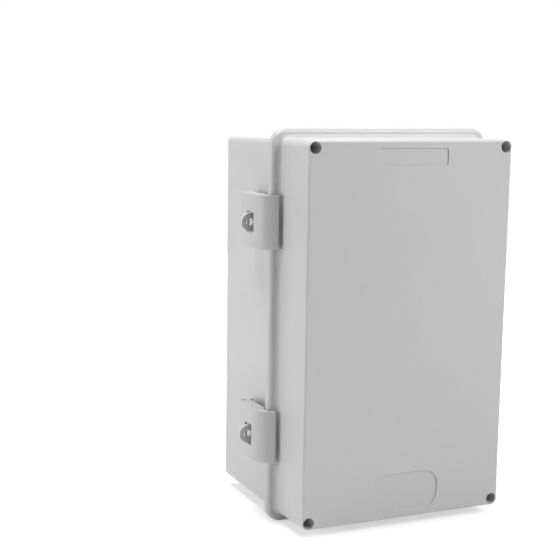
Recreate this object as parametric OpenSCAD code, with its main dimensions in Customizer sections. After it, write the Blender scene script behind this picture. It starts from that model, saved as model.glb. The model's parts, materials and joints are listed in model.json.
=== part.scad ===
// Hinged wall enclosure, upright, seen from the front: the wall plane is y = 0, the front
// faces -Y, the latches are on the left side (-X) and the hinges on the right (+X).
// The origin is the centre of the back face, where the box is screwed to its wall.
// Every module is drawn with the box lying on its back (x across, y up the box,
// z the distance from the wall) and stand() turns it upright.

/* [Box] */
// Width of the base and cover across their side walls
box_w = 150; // [130:5:220]
// Height of the base and cover across their end walls
box_h = 250; // [230:5:340]
// Distance from the wall to the front face of the cover
box_d = 130; // [115:1:170]
// Distance from the wall to the seat where cover and base meet
seat_d = 86; // [76:1:96]
// Thickness of the side walls
wall = 3; // [2.6:0.1:3.4]
// Thickness of the back of the base
back_t = 3.2; // [2.4:0.1:4]
// Thickness of the front of the cover
face_t = 3; // [2.4:0.1:4]
// Radius of the corners seen from the front
corner_r = 5; // [4.6:0.1:6]
// How much each base wall leans in from the seat to the back
base_draft = 1.2; // [0.4:0.1:1.4]
// How much each cover wall leans in from the seat to the front
cover_draft = 0.6; // [0.2:0.1:0.8]
// Width of the bevel round the front face
face_bevel = 0.9; // [0.5:0.1:1.2]

/* [Bead round the cover] */
// How far the bead stands out from the side walls
bead_out = 6; // [5.6:0.1:6.6]
// Width of the bead along the side of the box
bead_w = 6; // [5.4:0.1:6.6]
// How far the skirt of the bead reaches back over the seat
bead_lap = 2; // [1.6:0.1:2.4]
// Thickness of the skirt of the bead
lip_t = 1.7; // [1.5:0.1:1.9]
// Radius of the hollow between the bead and the cover wall
hollow_r = 3; // [2.6:0.1:3.2]

/* [Seal] */
// Width of the seal cord
seal_w = 2.8; // [2.4:0.1:3]
// Thickness of the seal cord
seal_t = 1.9; // [1.5:0.1:2.2]
// Height of the tongue that presses into the seal
tongue_h = 2.4; // [2:0.1:2.8]
// Thickness of the tongue
tongue_t = 1.4; // [1.2:0.1:1.6]
// Thickness of the rib on the inner side of the seal groove
groove_rib = 2; // [1.6:0.1:2.4]

/* [Corner holes] */
// Diameter of the driver holes through the cover corners
driver_d = 8; // [6:0.5:8]
// Wall round the driver holes inside the cover
column_t = 2.2; // [1.8:0.1:2.6]
// Radius of the screw wells in the base corners
well_r = 9.2; // [8.6:0.1:10]
// Wall between a screw well and the outside of the box, at the back
well_wall = 1.4; // [1.2:0.1:1.6]
// Diameter of the wall-fixing holes
fix_d = 4.5; // [3.5:0.5:5]
// Distance from the outside of the box to the middles of the wall-fixing holes
fix_in = 6.5; // [6.4:0.1:7.5]

/* [Latches] */
// Distance from the end walls to the middle of a latch, and of a hinge
pair_in = 54; // [50:1:60]
// Height of a latch
latch_h = 35; // [33:0.5:40]
// Distance of the latch face from the side wall where the hook begins
latch_out = 14; // [13.8:0.1:14.4]
// Length of the latch face in front of its pivot
face_len = 24.5; // [24:0.1:25]
// Radius of the outward curve of the latch face
face_r = 220; // [180:10:300]
// Distance of the latch pivot from the side wall
pivot_out = 8.2; // [8:0.1:8.6]
// Distance of the latch pivot behind the seat
pivot_back = 30.5; // [29:0.5:32]
// Thickness of the latch skin
skin_t = 2; // [1.6:0.1:2.1]
// Thickness of the two end cheeks of a latch
cheek_t = 2.5; // [2:0.1:3]
// Radius of the curve from the latch face to the hook
hook_r = 15; // [14.5:0.1:15.5]
// Distance between the hook tip and the cover wall
hook_gap = 2.6; // [2.2:0.1:3]
// Radius of the two rear corners of a latch
latch_corner_r = 2; // [1:0.5:3]
// Diameter of the latch and hinge pins
pin_d = 3; // [2.6:0.1:3]
// Thickness of the ears that carry a latch
ear_t = 3.8; // [3:0.1:4.2]

/* [Padlock eyes] */
// Height of a padlock eye
eye_h = 12.4; // [12:0.2:14.4]
// How far an eye stands out from the side wall
eye_out = 20.4; // [20:0.1:20.8]
// Thickness of an eye
eye_t = 3; // [2.6:0.1:3.2]
// Distance of the front of an eye in front of the latch pivot
eye_at = 20.2; // [19.6:0.1:20.4]
// Diameter of the hole in an eye
eye_hole_d = 5.2; // [4:0.1:5.4]
// Rim between the hole and the outer end of an eye
eye_rim = 3.3; // [3:0.1:3.6]
// Distance of an eye below the middle of its latch
eye_drop = 1; // [0:0.1:1.2]

/* [Hinges] */
// Radius of the hinge knuckles
knuckle_r = 4; // [3.6:0.1:4.2]
// Height of a base knuckle
knuckle_h = 14; // [10:0.5:16]
// Height of the cover knuckle between two base knuckles
cover_knuckle_h = 16; // [12:0.5:20]

/* [Mounting plate] */
// Distance from the side walls to the mounting plate
plate_side = 16; // [14:1:30]
// Distance from the end walls to the mounting plate
plate_end = 22; // [19:1:40]
// Thickness of the mounting plate
plate_t = 2; // [1.5:0.1:3]
// Height of the plate bosses above the back of the base
boss_h = 9; // [7:0.5:14]
// Diameter of the plate bosses
boss_d = 9; // [8.4:0.1:11]
// Distance from the plate edge to its screws
plate_edge = 8; // [7:0.5:10]
// Diameter of the plate screws
screw_d = 4; // [3:0.5:4]

/* [Name panels] */
// Width of both bare panels on the front face
panel_w = 51.5; // [40:0.5:60]
// Height of the upper panel
panel_h = 11; // [8:0.5:14]
// Height of the lower panel
lower_panel_h = 25; // [23:0.5:28]
// Distance from the upper end wall to the middle of the upper panel
panel_in = 11; // [9:0.5:14]
// Distance from the lower end wall to the middle of the lower panel
lower_panel_in = 18.5; // [16:0.5:24]
// Corner radius of the upper panel
panel_r = 2; // [1:0.5:3.5]
// Corner radius of the lower panel
lower_panel_r = 10; // [4:0.5:11]
// Depth of the panels
panel_cut = 0.8; // [0.2:0.1:1]

/* [Hidden] */
$fn = 64;

// Clearances
seat_gap = 0.1;    // between the cover and the seat of the base
lap_gap = 0.6;     // between the bead skirt and the flange of the base
seal_gap = 0.1;    // each side of the seal in its groove
tongue_gap = 0.1;  // between the tongue and the seal
pin_fit = 0.02;    // round a pin where it is held
pin_run = 0.06;    // round a pin where it turns
side_gap = 0.3;    // between parts that turn side by side
hook_lift = 0.4;   // between the hook and the bead
plate_play = 0.5;  // round the screws in the mounting plate
stud_play = 0.2;   // round the earth screw in the mounting plate
washer_play = 0.3; // round a screw in its washer
eye_play = 0.8;    // each side of an eye in the slot of its latch
knuckle_gap = 0.5; // between the knuckle barrels and the bead
eps = 0.5;         // overlap of shapes that are joined
sink = 1;          // reach of the rims into the side wall
touch = 0.01;      // overlap of curves that run on into one another
cut_over = 2;      // reach of a cut beyond the face it opens
smooth = 360;      // sides of the long curve of a latch

half_w = box_w / 2;
half_h = box_h / 2;
corner_x = half_w - corner_r;
corner_y = half_h - corner_r;
corners = [for (sx = [-1, 1], sy = [-1, 1]) [sx * corner_x, sy * corner_y]];
pair_y = [half_h - pair_in, pair_in - half_h];
plastic = [0.80, 0.80, 0.79];
rubber_grey = [0.20, 0.20, 0.21];
steel = [0.72, 0.73, 0.75];
brass = [0.80, 0.66, 0.38];

// Seal and rim, as distances from the outer face of the side wall (inwards is negative)
groove_w = seal_w + 2 * seal_gap;
seal_share = 0.72;  // depth of the seal line below the outer face, as a share of the wall
groove_mid = -wall * seal_share;
groove_out = groove_mid + groove_w / 2;
groove_in = groove_mid - groove_w / 2;
rim_in = groove_in - groove_rib;
seal_z0 = seat_d + tongue_h + tongue_gap;
groove_z1 = seal_z0 + seal_t;
rim_web = 2.5;      // plastic in front of the seal groove
rim_z1 = groove_z1 + rim_web;
// Radius that the seal line keeps from a corner centre
well_lap = 0.8;
seal_corner_r = well_r - well_lap;
// Partition between a screw well and the inside of the box
partition_r = seal_corner_r + wall;
well_floor = 4;

// Bead of the cover and flange of the base
bead_z0 = seat_d - bead_lap;
bead_z1 = bead_z0 + bead_w;
bead_r = bead_out - hollow_r;
hollow_in = 0.2;    // the hollow's curve reaches this far into the leaning wall
flange_t = 2.8;
flange_out = bead_out - lip_t - lap_gap;

// Latches: pivot, hook and the circle of the face
pivot_x = half_w + pivot_out;
pivot_z = seat_d - pivot_back;
latch_x = half_w + latch_out;
hook_z = bead_z1 + hook_lift;
hook_c = [latch_x - hook_r, pivot_z + face_len];
face_c = [latch_x - face_r, hook_c.y];
cheek_in = 4.4;     // between the cheeks and the side wall
room_back = 3;      // the room for the bead reaches this far behind it
// Tail of a latch, behind and inside its pivot
tail_back = 5.5;
tail_in = 6.4;
tail_r = 3;
tail_z = pivot_z - tail_back + tail_r;
tail_out = face_c.x + sqrt(face_r * face_r - (face_c.y - tail_z) * (face_c.y - tail_z));
// Ears: round end, foot in front of the pivot, and where the flanks meet the round end
ear_wall = 1.3;
ear_r = pin_d / 2 + ear_wall;
ear_root = 9;
ear_flank = [0.35, 0.92] * ear_r;
ear_mid = latch_h / 2 - cheek_t - side_gap - ear_t / 2;
eye_z1 = pivot_z + eye_at;
slot_back = 4;      // room behind and in front of an eye as the latch swings
slot_front = 3.8;
slot_z0 = eye_z1 - eye_t - slot_back;
slot_z1 = eye_z1 + slot_front;

// Hinges: barrel, foot of the base knuckles and where it leaves the barrel
skirt_x = half_w + bead_out - lip_t / 2;
hinge_x = half_w + bead_out + knuckle_r + knuckle_gap;
hinge_z = seat_d;
knuckle_root = 18;
knuckle_flank = [0.9, -0.35] * knuckle_r;
knuckle_neck = 0.6 * knuckle_r;
pin_recess = 1;

// Mounting plate, its screws and the earth terminal
plate_w = box_w - 2 * plate_side;
plate_h = box_h - 2 * plate_end;
plate_z0 = back_t + boss_h;
screw_at = [for (sx = [-1, 1], sy = [-1, 1])
  [sx * (plate_w / 2 - plate_edge), sy * (plate_h / 2 - plate_edge)]];
insert_wall = 0.8;
insert_d = screw_d + 2 * insert_wall;
insert_h = 6;
washer_d = 2.2 * screw_d;
washer_t = 0.8;
head_d = 1.8 * screw_d;
head_h = 2.6;
drive_w = screw_d / 4;
earth_at = [0, 2 * plate_edge - plate_h / 2];
earth_reach = 8;    // the earth screw beyond the mounting plate
nut_d = 2 * screw_d;
nut_h = 3.2;

// Turns the box from lying on its back to standing upright
module stand() rotate([90, 0, 0]) children();

// Extrudes a side profile (distance out, distance from the wall) up the box
module up_side(y, h) translate([0, y, 0]) rotate([90, 0, 0])
  linear_extrude(h, center = true) children();

// A block with rounded corners whose walls lean from outset o0 at z0 to o1 at z1
module slab(z0, z1, o0, o1) {
  lean_block(z0, z1, half_w + o0, half_w + o1, corner_y);
  rotate([0, 0, 90]) lean_block(z0, z1, half_h + o0, half_h + o1, corner_x);
  for (c = corners) translate([c.x, c.y, z0])
    cylinder(r1 = corner_r + o0, r2 = corner_r + o1, h = z1 - z0);
}

// A block whose two x faces lean from w0 at z0 to w1 at z1
module lean_block(z0, z1, w0, w1, half_len) up_side(0, 2 * half_len)
  polygon([[-w0, z0], [w0, z0], [w1, z1], [-w1, z1]]);

// A square-cornered hollow with leaning walls
module hollow(z0, z1, o0, o1) intersection() {
  lean_block(z0, z1, half_w + o0, half_w + o1, half_h);
  rotate([0, 0, 90]) lean_block(z0, z1, half_h + o0, half_h + o1, half_w);
}

// Outset of the base wall at a distance z from the wall
function base_lean(z) = -base_draft * (seat_d - z) / seat_d;

// A rectangle with rounded corners
module rounded(w, h, r) {
  square([w, h - 2 * r], center = true);
  square([w - 2 * r, h], center = true);
  for (sx = [-1, 1], sy = [-1, 1])
    translate([sx * (w / 2 - r), sy * (h / 2 - r)]) circle(r);
}

// A hole of diameter d from z = 0 to z = h that opens both ends
module bore(d, h) translate([0, 0, -cut_over]) cylinder(d = d, h = h + 2 * cut_over);

// Outline of the four screw wells, with upright walls
module well_outline() intersection() {
  u = base_draft + well_wall;
  rounded(box_w - 2 * u, box_h - 2 * u, corner_r - u);
  for (c = corners) translate(c) circle(well_r);
}

// Outline that follows the seal line, offset by u, round the corner wells
module seal_outline(u) difference() {
  square([2 * (half_w + u), 2 * (half_h + u)], center = true);
  for (c = corners) translate(c) circle(seal_corner_r - u);
}

module seal_ring(z0, z1, u_out, u_in) translate([0, 0, z0]) linear_extrude(z1 - z0)
  difference() {
    seal_outline(u_out);
    seal_outline(u_in);
  }

// Sweeps a rim profile (distance out from the side wall, z) once round the box
module rim_sweep() {
  for (a = [0, 180]) rotate([0, 0, a]) {
    up_side(0, 2 * corner_y) translate([half_w, 0]) children();
    rotate([0, 0, 90]) up_side(0, 2 * corner_x) translate([half_h, 0]) children();
    translate([corner_x, corner_y, 0])
      rotate_extrude(angle = 90) translate([corner_r, 0]) children();
    translate([-corner_x, corner_y, 0]) rotate([0, 0, 90])
      rotate_extrude(angle = 90) translate([corner_r, 0]) children();
  }
}

module at_corners() for (c = corners) translate([c.x, c.y, 0]) children();
module at_fixings() for (sx = [-1, 1], sy = [-1, 1])
  translate([sx * (half_w - fix_in), sy * (half_h - fix_in), 0]) children();
module at_screws() for (p = screw_at) translate([p.x, p.y, 0]) children();

// ---- Base ----

// Ear that carries the latch pin, as a profile up the side of the box
module ear_profile() difference() {
  union() {
    translate([pivot_x, pivot_z]) circle(ear_r);
    polygon([[half_w - wall / 2, pivot_z - sink], [pivot_x, pivot_z] - ear_flank,
      [pivot_x, pivot_z] + ear_flank, [half_w - wall / 2, pivot_z + ear_root]]);
  }
  translate([pivot_x, pivot_z]) circle(pin_d / 2 + pin_fit);
}

module latch_ears(y) for (s = [-1, 1]) up_side(y + s * ear_mid, ear_t) ear_profile();

// Half-round plate that stands through the latch and takes a padlock or a wire seal
module padlock_eye(y) translate([0, y - eye_drop, eye_z1 - eye_t]) linear_extrude(eye_t) difference() {
  union() {
    translate([half_w + eye_out - eye_h / 2, 0]) circle(eye_h / 2);
    translate([half_w - wall / 2, -eye_h / 2])
      square([eye_out - eye_h / 2 + wall / 2, eye_h]);
  }
  translate([half_w + eye_out - eye_rim - eye_hole_d / 2, 0]) circle(eye_hole_d / 2);
}

module base_knuckle_profile() difference() {
  union() {
    translate([hinge_x, hinge_z]) circle(knuckle_r);
    polygon([[half_w - wall / 2, bead_z0 - knuckle_root], [half_w + sink, bead_z0 - knuckle_root],
      [hinge_x, hinge_z] + knuckle_flank, [hinge_x, hinge_z],
      [hinge_x - knuckle_neck, bead_z0 - lap_gap], [half_w - wall / 2, bead_z0 - lap_gap]]);
  }
  translate([hinge_x, hinge_z]) circle(pin_d / 2 + pin_fit);
}

module base_knuckles(y) for (s = [-1, 1])
  up_side(y + s * (cover_knuckle_h / 2 + side_gap + knuckle_h / 2), knuckle_h)
    base_knuckle_profile();

module plate_boss() difference() {
  translate([0, 0, back_t - eps]) cylinder(d = boss_d, h = boss_h + eps);
  translate([0, 0, plate_z0 - insert_h - eps])
    cylinder(d = insert_d + 2 * pin_fit, h = insert_h + 2 * eps);
}

module base() color(plastic) stand() difference() {
  union() {
    difference() {
      slab(0, seat_d, -base_draft, 0);
      difference() {
        hollow(back_t, seat_d + eps, base_lean(back_t) - wall, -wall);
        at_corners() cylinder(r = partition_r, h = box_d);
      }
      translate([0, 0, well_floor]) linear_extrude(box_d) well_outline();
    }
    seal_ring(seat_d - sink, seat_d + tongue_h,
      groove_mid + tongue_t / 2, groove_mid - tongue_t / 2);
    rim_sweep() translate([-sink, seat_d - flange_t]) square([sink + flange_out, flange_t]);
    for (y = pair_y) {
      mirror([1, 0, 0]) {
        latch_ears(y);
        padlock_eye(y);
      }
      base_knuckles(y);
    }
    at_screws() plate_boss();
  }
  at_fixings() bore(fix_d, well_floor);
}

// ---- Cover ----

// Bead with its skirt: a round edge that runs through a hollow into the cover wall
module bead_profile() {
  bead_foot = seat_d + seat_gap;
  translate([-sink, bead_foot]) square([sink + bead_out - bead_r, bead_z1 - bead_foot]);
  translate([bead_out - lip_t, bead_z0]) square([lip_t, bead_w - bead_r]);
  intersection() {
    translate([bead_out - bead_r, bead_z1 - bead_r]) circle(bead_r);
    translate([0, bead_foot]) square([bead_out + eps, bead_w]);
  }
  difference() {
    translate([-sink, bead_z1 - touch])
      square([sink + hollow_r - hollow_in, hollow_r + touch]);
    translate([hollow_r - hollow_in, bead_z1 + hollow_r]) circle(hollow_r);
  }
}

module cover_knuckle_profile() difference() {
  union() {
    translate([hinge_x, hinge_z]) circle(knuckle_r);
    polygon([[skirt_x, bead_z0 + side_gap], [hinge_x, hinge_z - knuckle_r],
      [hinge_x, hinge_z + knuckle_r], [half_w + bead_out - bead_r, bead_z1 - eps],
      [skirt_x, seat_d + seat_gap + eps]]);
  }
  translate([hinge_x, hinge_z]) circle(pin_d / 2 + pin_run);
}

// Rounded bare panel sunk in the front face
module panel(y, h, r) translate([0, y, box_d - panel_cut])
  linear_extrude(panel_cut + eps) rounded(panel_w, h, r);

module cover() color(plastic) stand() difference() {
  union() {
    slab(seat_d + seat_gap, box_d - face_bevel, 0, -cover_draft);
    slab(box_d - face_bevel, box_d, -cover_draft, -cover_draft - face_bevel);
    rim_sweep() bead_profile();
    for (y = pair_y) up_side(y, cover_knuckle_h) cover_knuckle_profile();
  }
  difference() {
    hollow(rim_z1, box_d - face_t, -wall, -wall - cover_draft);
    at_corners() cylinder(r = driver_d / 2 + column_t, h = box_d);
  }
  translate([0, 0, seat_d]) linear_extrude(rim_z1 - seat_d + eps) seal_outline(rim_in);
  seal_ring(seat_d, groove_z1, groove_out, groove_in);
  at_corners() translate([0, 0, seat_d - cut_over]) cylinder(d = driver_d, h = box_d);
  panel(half_h - panel_in, panel_h, panel_r);
  panel(lower_panel_in - half_h, lower_panel_h, lower_panel_r);
}

// ---- Seal ----

module seal() color(rubber_grey) stand()
  seal_ring(seal_z0, groove_z1, groove_out - seal_gap, groove_in + seal_gap);

// ---- Latches ----

// Outer line of the latch: tail, long face with a slight outward curve, and hook
module latch_outline() {
  intersection() {
    translate(hook_c) circle(hook_r);
    translate([half_w + hook_gap, hook_c.y]) square([latch_out, hook_r]);
  }
  intersection() {
    translate(face_c) circle(face_r, $fn = smooth);
    union() {
      translate([half_w + cheek_in, pivot_z])
        square([latch_out, hook_c.y - pivot_z + touch]);
      latch_tail();
    }
  }
}

// Tail of the latch with rounded ends, round its pivot
module latch_tail() {
  inner = pivot_x - tail_in + tail_r;
  outer = tail_out - tail_r;
  for (x = [inner, outer]) translate([x, tail_z]) circle(tail_r);
  translate([inner, tail_z - tail_r]) square([outer - inner, tail_r + eps]);
  translate([inner - tail_r, tail_z]) square([latch_x - inner + tail_r, tail_back - tail_r + eps]);
}

// Room that the latch leaves for the flange and the bead
module bead_room() translate([half_w, bead_z0 - room_back])
  square([bead_out + hook_lift, hook_z - bead_z0 + room_back]);

module latch_solid_profile() difference() {
  latch_outline();
  bead_room();
}

// Inside of the latch between its cheeks
module latch_core_profile() difference() {
  union() {
    intersection() {
      translate(hook_c) circle(hook_r - skin_t);
      translate([half_w, hook_c.y]) square([latch_out, hook_r]);
    }
    intersection() {
      translate(face_c) circle(face_r - skin_t, $fn = smooth);
      translate([half_w, tail_z - 2 * tail_r])
        square([latch_out, hook_c.y - tail_z + 2 * tail_r + touch]);
    }
  }
  translate([half_w, hook_z]) square([bead_out + hook_lift, hook_r]);
}

// Room round the ears and, as the latch swings, behind them
module ear_room_profile() {
  translate([pivot_x, pivot_z]) circle(ear_r + side_gap);
  translate([half_w, pivot_z - 2 * tail_back]) square([2 * latch_out, 2 * tail_back - sink]);
}

// Block seen from the side of the box whose two rear corners are rounded
module rounded_rear() translate([half_w + 2 * latch_out, 0, 0]) rotate([0, -90, 0])
  linear_extrude(2 * latch_out) {
    z0 = pivot_z - tail_back;
    side = latch_h / 2 - latch_corner_r;
    for (s = [-side, side]) translate([z0 + latch_corner_r, s]) circle(latch_corner_r);
    translate([z0, -side]) square([2 * face_len, 2 * side]);
    translate([z0 + latch_corner_r, -latch_h / 2]) square([2 * face_len, latch_h]);
  }

module latch(y) color(plastic) stand() translate([0, y, 0]) mirror([1, 0, 0]) difference() {
  intersection() {
    up_side(0, latch_h) latch_solid_profile();
    rounded_rear();
  }
  up_side(0, latch_h - 2 * cheek_t) latch_core_profile();
  for (s = [-1, 1]) up_side(s * ear_mid, ear_t + 2 * side_gap) ear_room_profile();
  up_side(0, 2 * latch_h) translate([pivot_x, pivot_z]) circle(pin_d / 2 + pin_run);
  translate([pivot_x, -eye_drop - eye_h / 2 - eye_play, slot_z0])
    cube([latch_out, eye_h + 2 * eye_play, slot_z1 - slot_z0]);
}

module latch_upper() latch(pair_y[0]);
module latch_lower() latch(pair_y[1]);

module pin(x, y, z, length) color(steel) stand() translate([x, y, z]) rotate([90, 0, 0])
  cylinder(d = pin_d, h = length, center = true);

module latch_pin_upper() pin(-pivot_x, pair_y[0], pivot_z, latch_h - 2 * pin_recess);
module latch_pin_lower() pin(-pivot_x, pair_y[1], pivot_z, latch_h - 2 * pin_recess);

// ---- Hinge pins ----

hinge_pin_h = cover_knuckle_h + 2 * (side_gap + knuckle_h) - 2 * pin_recess;
module hinge_pin_upper() pin(hinge_x, pair_y[0], hinge_z, hinge_pin_h);
module hinge_pin_lower() pin(hinge_x, pair_y[1], hinge_z, hinge_pin_h);

// ---- Mounting plate ----

module mounting_plate() color(steel) stand() difference() {
  translate([0, 0, plate_z0 + plate_t / 2]) cube([plate_w, plate_h, plate_t], center = true);
  at_screws() translate([0, 0, plate_z0]) bore(screw_d + plate_play, plate_t);
  translate([earth_at.x, earth_at.y, plate_z0]) bore(screw_d + stud_play, plate_t);
}

module plate_inserts() color(brass) stand() at_screws()
  translate([0, 0, plate_z0 - insert_h]) difference() {
    cylinder(d = insert_d, h = insert_h);
    bore(screw_d + 2 * pin_fit, insert_h);
  }

module washer() difference() {
  cylinder(d = washer_d, h = washer_t);
  bore(screw_d + washer_play, washer_t);
}

module plate_washers() color(steel) stand() at_screws()
  translate([0, 0, plate_z0 + plate_t]) washer();

// Cheese-head screw with its head seated at z = 0 and its shank pointing down
module screw(length) {
  translate([0, 0, -length]) cylinder(d = screw_d, h = length + eps);
  difference() {
    cylinder(d = head_d, h = head_h);
    translate([0, 0, head_h]) cube([head_d + eps, drive_w, head_h], center = true);
  }
}

module plate_screws() color(steel) stand() at_screws()
  translate([0, 0, plate_z0 + plate_t + washer_t]) screw(insert_h + plate_t);

// ---- Earth terminal ----

module at_earth(z) stand() translate([earth_at.x, earth_at.y, z]) children();
module earth_screw() color(steel) at_earth(plate_z0) mirror([0, 0, 1])
  screw(plate_t + earth_reach);
module earth_washers() color(steel) at_earth(plate_z0 + plate_t) washer();
module earth_nut() color(steel) at_earth(plate_z0 + plate_t + washer_t) difference() {
  cylinder(d = nut_d, h = nut_h, $fn = 6);
  bore(screw_d + 2 * pin_fit, nut_h);
}

base();
cover();
seal();
mounting_plate();
plate_inserts();
plate_washers();
plate_screws();
latch_upper();
latch_lower();
latch_pin_upper();
latch_pin_lower();
hinge_pin_upper();
hinge_pin_lower();
earth_screw();
earth_washers();
earth_nut();
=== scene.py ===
"""Looks of the hinged wall enclosure: light grey plastic, rubber seal, zinc-plated steel and brass.

Everything is in metres in the frame of the part: the wall is y = 0 and the front faces -Y.
"""

import json
import math

import bmesh
import bpy
from mathutils import Matrix, Vector


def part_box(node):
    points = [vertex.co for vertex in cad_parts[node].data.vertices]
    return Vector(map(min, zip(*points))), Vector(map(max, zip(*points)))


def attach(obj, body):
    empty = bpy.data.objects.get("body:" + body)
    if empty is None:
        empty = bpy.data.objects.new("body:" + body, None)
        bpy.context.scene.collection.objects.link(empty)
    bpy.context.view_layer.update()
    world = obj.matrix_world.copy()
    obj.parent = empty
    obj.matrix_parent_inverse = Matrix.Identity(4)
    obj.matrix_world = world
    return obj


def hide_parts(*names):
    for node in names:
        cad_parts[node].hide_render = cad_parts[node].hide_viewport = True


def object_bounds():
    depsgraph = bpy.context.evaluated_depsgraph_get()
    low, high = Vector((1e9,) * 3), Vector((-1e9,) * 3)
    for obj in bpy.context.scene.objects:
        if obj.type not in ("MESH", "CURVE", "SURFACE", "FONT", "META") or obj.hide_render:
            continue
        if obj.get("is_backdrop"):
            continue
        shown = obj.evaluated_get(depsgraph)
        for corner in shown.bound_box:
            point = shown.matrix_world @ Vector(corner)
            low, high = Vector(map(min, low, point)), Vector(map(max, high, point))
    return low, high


MM = 0.001

# ---- Camera ----
CAMERA_AT = Vector((-0.41219, -0.80828, 0.14706))
CAMERA_YAW = math.radians(24.0)
CAMERA_PITCH = math.radians(9.38)
CAMERA_ROLL = math.radians(0.65)
CAMERA_LENS = 79.25
CAMERA_SHIFT = 0.0464
CAMERA_SENSOR = 36
CAMERA_NEAR = 0.05

camera_data = bpy.data.cameras.new("camera")
camera_data.lens = CAMERA_LENS
camera_data.sensor_width = CAMERA_SENSOR
camera_data.shift_x = CAMERA_SHIFT
camera_data.shift_y = CAMERA_SHIFT
camera_data.clip_start = CAMERA_NEAR
camera = bpy.data.objects.new("camera", camera_data)
camera.matrix_world = (
    Matrix.Translation(CAMERA_AT)
    @ Matrix.Rotation(-CAMERA_YAW, 4, "Z")
    @ Matrix.Rotation(math.pi / 2 - CAMERA_PITCH, 4, "X")
    @ Matrix.Rotation(CAMERA_ROLL, 4, "Z")
)
bpy.context.scene.collection.objects.link(camera)
bpy.context.scene.camera = camera

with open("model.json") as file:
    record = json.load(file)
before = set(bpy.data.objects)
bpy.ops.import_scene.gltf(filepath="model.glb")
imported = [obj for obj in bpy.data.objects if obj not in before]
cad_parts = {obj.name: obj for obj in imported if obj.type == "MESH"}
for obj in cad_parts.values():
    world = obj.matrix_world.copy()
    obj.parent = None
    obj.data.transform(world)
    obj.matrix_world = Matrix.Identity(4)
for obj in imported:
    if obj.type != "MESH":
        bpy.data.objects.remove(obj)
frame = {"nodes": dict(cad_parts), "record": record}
nodes = frame["nodes"]
low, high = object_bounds()


# ---- Materials ----
# Noise seldom leaves this range, so it is spread from here.
NOISE_LOW, NOISE_HIGH = 0.3, 0.7


class Tree:
    """A node material whose textures are laid on the object's own coordinates, in metres."""

    def __init__(self, name):
        self.material = bpy.data.materials.new(name)
        self.material.use_nodes = True
        self.tree = self.material.node_tree
        self.shader = self.tree.nodes["Principled BSDF"]
        self.place = self.add("ShaderNodeTexCoord").outputs["Object"]

    def add(self, kind, **values):
        """New node with its properties set."""
        node = self.tree.nodes.new(kind)
        for key, value in values.items():
            setattr(node, key, value)
        return node

    def put(self, value, socket):
        """Feeds a socket with another node's output, a colour or a number."""
        if isinstance(value, bpy.types.NodeSocket):
            self.tree.links.new(value, socket)
        elif isinstance(value, tuple):
            socket.default_value = (*value, 1)
        else:
            socket.default_value = value

    def noise(self, size, detail):
        """Noise from 0 to 1 whose blotches are about size metres across."""
        texture = self.add("ShaderNodeTexNoise")
        self.put(self.place, texture.inputs["Vector"])
        self.put(1 / size, texture.inputs["Scale"])
        self.put(detail, texture.inputs["Detail"])
        return texture.outputs["Fac"]

    def cells(self, size):
        """Random value per cell, with cells about size metres across."""
        texture = self.add("ShaderNodeTexVoronoi")
        self.put(self.place, texture.inputs["Vector"])
        self.put(1 / size, texture.inputs["Scale"])
        return texture.outputs["Color"]

    def ranged(self, value, low, high, start=NOISE_LOW, end=NOISE_HIGH):
        """Value that runs from low to high while the given one runs from start to end."""
        node = self.add("ShaderNodeMapRange")
        for name, number in (
            ("From Min", start), ("From Max", end), ("To Min", low), ("To Max", high),
        ):
            self.put(number, node.inputs[name])
        self.put(value, node.inputs["Value"])
        return node.outputs["Result"]

    def mixed(self, factor, a, b):
        """Colour between a at factor 0 and b at factor 1."""
        node = self.add("ShaderNodeMix", data_type="RGBA")
        self.put(factor, node.inputs[0])
        self.put(a, node.inputs[6])
        self.put(b, node.inputs[7])
        return node.outputs[2]

    def mottled(self, value, color, dark, light):
        """The colour, between dark times and light times itself, where the noise says so."""
        return self.mixed(self.ranged(value, 0, 1), shade(color, dark), shade(color, light))

    def surface(self, **values):
        """Feeds the shader's inputs, whose names have _ for a space."""
        for name, value in values.items():
            self.put(value, self.shader.inputs[name.replace("_", " ")])

    def bumped(self, *heights):
        """Bump from (height output, depth in metres) pairs, one on another."""
        normal = None
        for height, depth in heights:
            bump = self.add("ShaderNodeBump")
            self.put(1.0, bump.inputs["Strength"])
            self.put(depth, bump.inputs["Distance"])
            self.put(height, bump.inputs["Height"])
            if normal:
                self.put(normal, bump.inputs["Normal"])
            normal = bump.outputs["Normal"]
        self.surface(Normal=normal)


def shade(color, factor):
    """The colour made darker or lighter."""
    return tuple(min(1.0, c * factor) for c in color)


def plastic(name, color, rough):
    """Moulded polycarbonate: fine spark-eroded grain, faint flow shading and a soft sheen."""
    flow_size, speck_size, sheen_size = 70 * MM, 1.1 * MM, 20 * MM
    grain_size, grain_depth = 0.7 * MM, 0.03 * MM
    wave_size, wave_depth = 30 * MM, 0.04 * MM
    uneven = 0.05
    t = Tree(name)
    flow = t.mottled(t.noise(flow_size, 3), color, 0.975, 1.02)
    speck = t.mottled(t.noise(speck_size, 2), color, 0.965, 1.03)
    t.surface(
        Base_Color=t.mixed(0.5, flow, speck),
        Roughness=t.ranged(t.noise(sheen_size, 4), rough - uneven, rough + uneven),
        IOR=1.58,
    )
    t.bumped((t.noise(grain_size, 3), grain_depth), (t.noise(wave_size, 2), wave_depth))
    return t.material


def rubber(name):
    """Black sealing rubber, a little dusty."""
    dust_size, dull_size = 4 * MM, 2 * MM
    grain_size, grain_depth = 0.5 * MM, 0.03 * MM
    t = Tree(name)
    t.surface(
        Base_Color=t.mottled(t.noise(dust_size, 4), (0.035, 0.036, 0.038), 0.8, 1.3),
        Roughness=t.ranged(t.noise(dull_size, 3), 0.62, 0.82),
    )
    t.bumped((t.noise(grain_size, 3), grain_depth))
    return t.material


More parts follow.
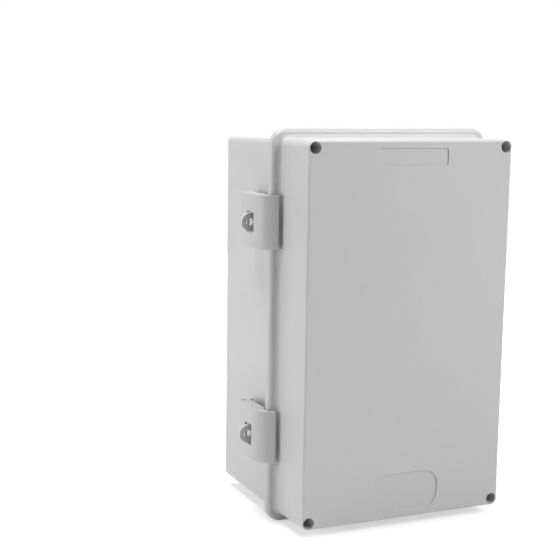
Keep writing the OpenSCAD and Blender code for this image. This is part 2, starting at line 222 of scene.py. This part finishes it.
def galvanised(name):
    """Zinc-coated sheet steel with the crystal pattern of the coating."""
    dark_crystal, light_crystal = (0.40, 0.41, 0.42), (0.51, 0.52, 0.53)
    crystal_size = 6 * MM
    grain_size, grain_depth = 1.6 * MM, 0.02 * MM
    t = Tree(name)
    crystal = t.cells(crystal_size)
    t.surface(
        Base_Color=t.mixed(t.ranged(crystal, 0, 1, 0, 1), dark_crystal, light_crystal),
        Roughness=t.ranged(crystal, 0.26, 0.44, 0, 1),
        Metallic=1.0,
    )
    t.bumped((t.noise(grain_size, 3), grain_depth))
    return t.material


def plated(name, color, rough):
    """Plated or bare small metal parts, slightly uneven in colour and sheen."""
    stain_size, sheen_size = 3 * MM, 1.2 * MM
    grain_size, grain_depth = 0.4 * MM, 0.012 * MM
    t = Tree(name)
    t.surface(
        Base_Color=t.mottled(t.noise(stain_size, 4), color, 0.86, 1.08),
        Roughness=t.ranged(t.noise(sheen_size, 3), rough - 0.06, rough + 0.1),
        Metallic=1.0,
    )
    t.bumped((t.noise(grain_size, 2), grain_depth))
    return t.material


GREY = (0.60, 0.60, 0.60)
cover_plastic = plastic("cover_plastic", GREY, 0.42)
base_plastic = plastic("base_plastic", shade(GREY, 1.02), 0.44)
latch_plastic = plastic("latch_plastic", shade(GREY, 0.96), 0.46)
seal_rubber = rubber("seal_rubber")
plate_steel = galvanised("plate_steel")
zinc = plated("zinc", (0.72, 0.73, 0.75), 0.3)
brass = plated("brass", (0.78, 0.60, 0.29), 0.28)

FINISH = {
    "base": base_plastic, "cover": cover_plastic, "seal": seal_rubber,
    "latch_upper": latch_plastic, "latch_lower": latch_plastic,
    "mounting_plate": plate_steel, "plate_inserts": brass, "plate_washers": zinc,
    "plate_screws": zinc, "latch_pin_upper": zinc, "latch_pin_lower": zinc,
    "hinge_pin_upper": zinc, "hinge_pin_lower": zinc, "earth_screw": brass,
    "earth_washers": zinc, "earth_nut": brass,
}
for name, material in FINISH.items():
    for slot in nodes[name].material_slots:
        slot.material = material


# ---- Moulded edges ----
SHARP = math.radians(30)  # edges that turn more than this are rounded
FLAT = math.radians(0.4)  # faces that turn less than this are one face
CREASE = math.radians(50)  # edges that turn more than this stay creases in the shading
WELD = 0.002 * MM
ROUND_STEPS = 2
BODY_OF = {
    node: body for body, held in frame["record"]["behaviour"]["bodies"].items() for node in held
}


def soften(name, radius, wanted=None, shape=None):
    """Stand-in for a moulded node whose outer edges are rounded, as they leave the mould.

    wanted(point) picks the edges by their middle, and shape(mesh) works on the mesh first.
    """
    mesh = bmesh.new()
    mesh.from_mesh(nodes[name].data)
    bmesh.ops.remove_doubles(mesh, verts=mesh.verts, dist=WELD)
    bmesh.ops.dissolve_limit(mesh, angle_limit=FLAT, verts=mesh.verts, edges=mesh.edges)
    if shape:
        shape(mesh)
    edges = [
        e for e in mesh.edges
        if e.is_manifold and e.calc_face_angle_signed() > SHARP
        and (not wanted or wanted((e.verts[0].co + e.verts[1].co) / 2))
    ]
    bmesh.ops.bevel(
        mesh, geom=edges, offset=radius, offset_type="OFFSET", segments=ROUND_STEPS, profile=0.5,
        affect="EDGES", clamp_overlap=False, miter_outer="SHARP", miter_inner="SHARP",
    )
    for face in mesh.faces:
        face.smooth = True
    data = bpy.data.meshes.new(name + "_moulding")
    mesh.to_mesh(data)
    mesh.free()
    data.set_sharp_from_angle(angle=CREASE)
    data.materials.append(FINISH[name])
    piece = bpy.data.objects.new(name + "_moulding", data)
    bpy.context.scene.collection.objects.link(piece)
    normals = piece.modifiers.new("normals", "WEIGHTED_NORMAL")
    normals.keep_sharp = True
    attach(piece, BODY_OF[name])
    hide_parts(name)


BASE_ROUND = 0.4 * MM
COVER_ROUND = 0.3 * MM
LATCH_ROUND = 0.3 * MM
TONGUE = 2.4 * MM  # how far the base's tongue stands into the cover
TONGUE_MARGIN = 0.2 * MM
DRIVER_X, DRIVER_Z = 70 * MM, 120 * MM  # half the spacing of the driver holes
DRIVER_R = 4.0 * MM
DRIVER_THROAT = 3.55 * MM
DRIVER_RIM = 0.7 * MM  # depth of the sloped rim
DRIVER_CLEAR = 6.5 * MM  # edges nearer to a hole's axis than this stay sharp
ON_BORE = 0.02 * MM
CUT_SNAP = 0.001 * MM
SIDEWAYS = Vector((1, 0, 1))
driver_axes = [Vector((x, 0, z)) for x in (-DRIVER_X, DRIVER_X) for z in (-DRIVER_Z, DRIVER_Z)]
face_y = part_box("cover")[0].y
tongue_root_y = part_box("base")[0].y + TONGUE
rim_y = face_y + DRIVER_RIM


def off_axis(point, axis):
    """How far a point lies from the axis of a driver hole."""
    return ((point - axis) * SIDEWAYS).length


def rimmed_drivers(mesh):
    """Gives each driver hole a sloped rim that leads into a slightly narrower throat."""
    for axis in driver_axes:
        def on_bore(vert):
            return abs(off_axis(vert.co, axis) - DRIVER_R) < ON_BORE

        bore = [f for f in mesh.faces if all(on_bore(v) for v in f.verts)]
        edges = {e for f in bore for e in f.edges}
        verts = {v for f in bore for v in f.verts}
        bmesh.ops.bisect_plane(
            mesh, geom=[*bore, *edges, *verts], dist=CUT_SNAP,
            plane_co=(0, rim_y, 0), plane_no=(0, 1, 0),
        )
        for vert in mesh.verts:
            if on_bore(vert) and vert.co.y > rim_y - ON_BORE:
                narrowed = axis + (vert.co - axis) * (DRIVER_THROAT / DRIVER_R)
                vert.co = Vector((narrowed.x, vert.co.y, narrowed.z))


def behind_tongue(point):
    return point.y > tongue_root_y + TONGUE_MARGIN


def clear_of_drivers(point):
    nearest = min(off_axis(point, axis) for axis in driver_axes)
    return nearest > DRIVER_CLEAR or point.y > face_y + 2 * DRIVER_RIM


soften("base", BASE_ROUND, behind_tongue)
soften("cover", COVER_ROUND, clear_of_drivers, rimmed_drivers)
for latch in ("latch_upper", "latch_lower"):
    soften(latch, LATCH_ROUND)


# ---- Floor, backdrop and light ----
FLOOR_REACH = 6.0
FLOOR_DROP = 0.2 * MM
FLOOR_GREY = (0.8, 0.8, 0.8)
FLOOR_NEAR = (0.15, 0.5)  # distance from the origin in metres, and how bright the floor glows
FLOOR_FAR = (0.6, 1.0)
WORLD_LIGHT = 0.04


def seen_rays(tree):
    """1 on camera, glossy and transmitted rays, which show the stage, and 0 on all others."""
    path = tree.nodes.new("ShaderNodeLightPath")
    seen = path.outputs["Is Camera Ray"]
    for kind in ("Is Glossy Ray", "Is Transmission Ray"):
        most = tree.nodes.new("ShaderNodeMath")
        most.operation = "MAXIMUM"
        tree.links.new(seen, most.inputs[0])
        tree.links.new(path.outputs[kind], most.inputs[1])
        seen = most.outputs[0]
    return seen


def stage_white(name):
    """White floor that takes the object's shadow and blends into the backdrop far away."""
    t = Tree(name)
    t.tree.nodes.remove(t.shader)
    distance = t.add("ShaderNodeVectorMath", operation="LENGTH")
    t.put(t.place, distance.inputs[0])
    glow = t.add("ShaderNodeMath", operation="MULTIPLY")
    t.put(seen_rays(t.tree), glow.inputs[0])
    (near, near_glow), (far, far_glow) = FLOOR_NEAR, FLOOR_FAR
    t.put(t.ranged(distance.outputs["Value"], near_glow, far_glow, near, far), glow.inputs[1])
    emission = t.add("ShaderNodeEmission")
    t.put(glow.outputs[0], emission.inputs["Strength"])
    diffuse = t.add("ShaderNodeBsdfDiffuse")
    t.put(FLOOR_GREY, diffuse.inputs["Color"])
    both = t.add("ShaderNodeAddShader")
    t.put(diffuse.outputs[0], both.inputs[0])
    t.put(emission.outputs[0], both.inputs[1])
    t.put(both.outputs[0], t.tree.nodes["Material Output"].inputs["Surface"])
    return t.material


floor_z = low.z - FLOOR_DROP
floor_mesh = bpy.data.meshes.new("floor")
floor_mesh.from_pydata(
    [(x * FLOOR_REACH, y * FLOOR_REACH, floor_z) for x, y in ((-1, -1), (1, -1), (1, 1), (-1, 1))],
    [], [(0, 1, 2, 3)],
)
floor_mesh.materials.append(stage_white("floor_white"))
floor = bpy.data.objects.new("floor", floor_mesh)
bpy.context.scene.collection.objects.link(floor)
floor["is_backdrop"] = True

world = bpy.data.worlds.new("world")
bpy.context.scene.world = world
world.use_nodes = True
sky = world.node_tree
strength = sky.nodes.new("ShaderNodeMapRange")
strength.inputs["To Min"].default_value = WORLD_LIGHT
strength.inputs["To Max"].default_value = 1.0
sky.links.new(seen_rays(sky), strength.inputs["Value"])
background = sky.nodes["Background"]
background.inputs["Color"].default_value = (1, 1, 1, 1)
sky.links.new(strength.outputs["Result"], background.inputs["Strength"])

# The light from the right grazes what faces the camera's side, so hollows and hooks stay dark.
# The light from behind is for the back of the box.
LAMP_TARGET = Vector((0, -0.06, 0))
LAMPS = {  # place, width and height in metres, and watts
    "top_light": ((-0.25, 0.05, 1.05), (0.6, 0.6), 9.5),
    "left_light": ((-1.3, 0.3, 0.1), (0.8, 1.0), 9),
    "right_light": ((0.55, -0.87, 0.7), (0.5, 0.5), 8.4),
    "back_light": ((0.4, 1.3, 0.1), (0.8, 0.8), 6),
}
for name, (place, size, watts) in LAMPS.items():
    lamp_data = bpy.data.lights.new(name, "AREA")
    lamp_data.shape = "RECTANGLE"
    lamp_data.size, lamp_data.size_y = size
    lamp_data.energy = watts
    lamp = bpy.data.objects.new(name, lamp_data)
    lamp.location = place
    lamp.rotation_euler = (LAMP_TARGET - Vector(place)).to_track_quat("-Z", "Y").to_euler()
    bpy.context.scene.collection.objects.link(lamp)

bpy.context.scene.view_settings.view_transform = "Standard"

low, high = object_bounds()
